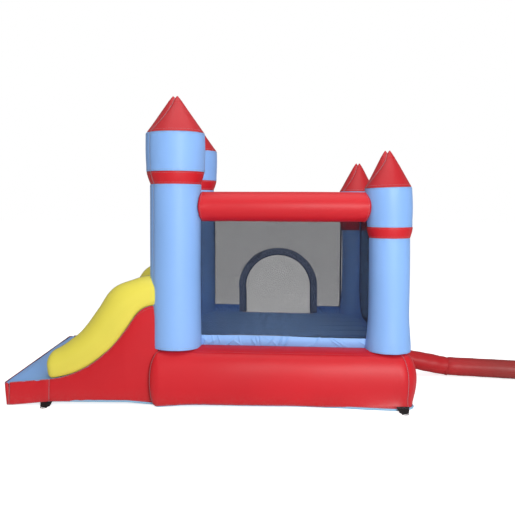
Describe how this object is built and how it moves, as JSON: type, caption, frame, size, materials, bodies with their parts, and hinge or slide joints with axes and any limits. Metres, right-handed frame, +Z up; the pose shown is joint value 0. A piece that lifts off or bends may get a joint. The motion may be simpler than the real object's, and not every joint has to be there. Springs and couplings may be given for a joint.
{
  "type": "inflatable bounce house",
  "caption": "Inflatable bounce house: four turreted columns, beams and net walls round a raised bounce floor, a side slide with bolsters and a blower tube.",
  "frame": {"origin": "on the ground at the middle of the house's own footprint", "axes": "+X from the slide towards the rear wall and the blower tube, +Y to the side with the arched door, +Z up"},
  "size_m": [5.1433, 2.706, 2.734],
  "materials": {
    "red_fabric": "satin coated nylon",
    "duct_fabric": "satin coated nylon, brownish red",
    "sky_fabric": "satin coated nylon",
    "slide_fabric": "smooth coated slide fabric",
    "yellow_fabric": "satin coated nylon",
    "net_mesh": "knitted safety net",
    "navy_binding": "woven binding",
    "webbing": "polypropylene webbing",
    "plated_steel": "zinc plated",
    "black_plastic": "moulded acetal",
    "piping_fabric": "light blue ground sheet and piping"
  },
  "bodies": {
    "house": {"ground_sheet": "piping_fabric", "base_wall": "red_fabric", "base_ledge": "red_fabric", "floor_sheet": "sky_fabric", "floor_baffles": "sky_fabric", "slide_surface": "slide_fabric", "slide_wall_near": "red_fabric", "slide_wall_far": "red_fabric", "slide_front": "red_fabric", "slide_back": "red_fabric", "slide_baffles": "sky_fabric", "bolster_near": "yellow_fabric", "bolster_far": "yellow_fabric", "slide_step": "sky_fabric", "beam_near": "red_fabric", "beam_far": "red_fabric", "beam_front": "red_fabric", "beam_rear": "red_fabric", "net_near": "net_mesh", "band_near": "sky_fabric", "net_far": "net_mesh", "band_far": "sky_fabric", "door_binding": "navy_binding", "net_rear": "net_mesh", "rear_panel": "sky_fabric", "duct_sleeve": "red_fabric", "anchor_tabs": "webbing", "zip_tape": "navy_binding", "front_near_column": "sky_fabric", "front_near_collar": "red_fabric", "front_near_drum": "sky_fabric", "front_near_cone": "red_fabric", "front_far_column": "sky_fabric", "front_far_collar": "red_fabric", "front_far_drum": "sky_fabric", "front_far_cone": "red_fabric", "rear_near_column": "sky_fabric", "rear_near_collar": "red_fabric", "rear_near_drum": "sky_fabric", "rear_near_cone": "red_fabric", "rear_far_column": "sky_fabric", "rear_far_collar": "red_fabric", "rear_far_drum": "sky_fabric", "rear_far_cone": "red_fabric"},
    "blower_tube": {"duct": "duct_fabric", "duct_mouth": "duct_fabric", "duct_cuff": "navy_binding", "duct_strap": "webbing", "duct_buckle": "black_plastic"},
    "ring_slide_near": {"ring_slide_near": "plated_steel"},
    "ring_slide_far": {"ring_slide_far": "plated_steel"},
    "ring_rear_near": {"ring_rear_near": "plated_steel"},
    "ring_rear_far": {"ring_rear_far": "plated_steel"},
    "zip_pull": {"zip_slider": "plated_steel"},
    "storm_flap": {"zip_flap": "red_fabric"}
  },
  "joints": [
    {"name": "tube_swing", "type": "hinge", "parent": "house", "child": "blower_tube", "pos_m": [1.765, 0, 0.098], "axis": [0, 0, 1], "range_deg": [-30, 30]},
    {"name": "ring_slide_near_turn", "type": "hinge", "parent": "house", "child": "ring_slide_near", "pos_m": [-2.0968, -1.132, 0.0068], "axis": [-1, 0, 0], "range_deg": [0, 120]},
    {"name": "ring_slide_far_turn", "type": "hinge", "parent": "house", "child": "ring_slide_far", "pos_m": [-2.0968, 1.132, 0.0068], "axis": [1, 0, 0], "range_deg": [0, 120]},
    {"name": "ring_rear_near_turn", "type": "hinge", "parent": "house", "child": "ring_rear_near", "pos_m": [1.04, -1.307, 0.0068], "axis": [-1, 0, 0], "range_deg": [0, 120]},
    {"name": "ring_rear_far_turn", "type": "hinge", "parent": "house", "child": "ring_rear_far", "pos_m": [1.04, 1.307, 0.0068], "axis": [1, 0, 0], "range_deg": [0, 120]},
    {"name": "zip_travel", "type": "slide", "parent": "house", "child": "zip_pull", "axis": [0, 1, 0], "range_m": [0, 0.308]},
    {"name": "flap_lift", "type": "hinge", "parent": "house", "child": "storm_flap", "pos_m": [1.174, 0.62, 0.294], "axis": [0, -1, 0], "range_deg": [0, 100]}
  ]
}
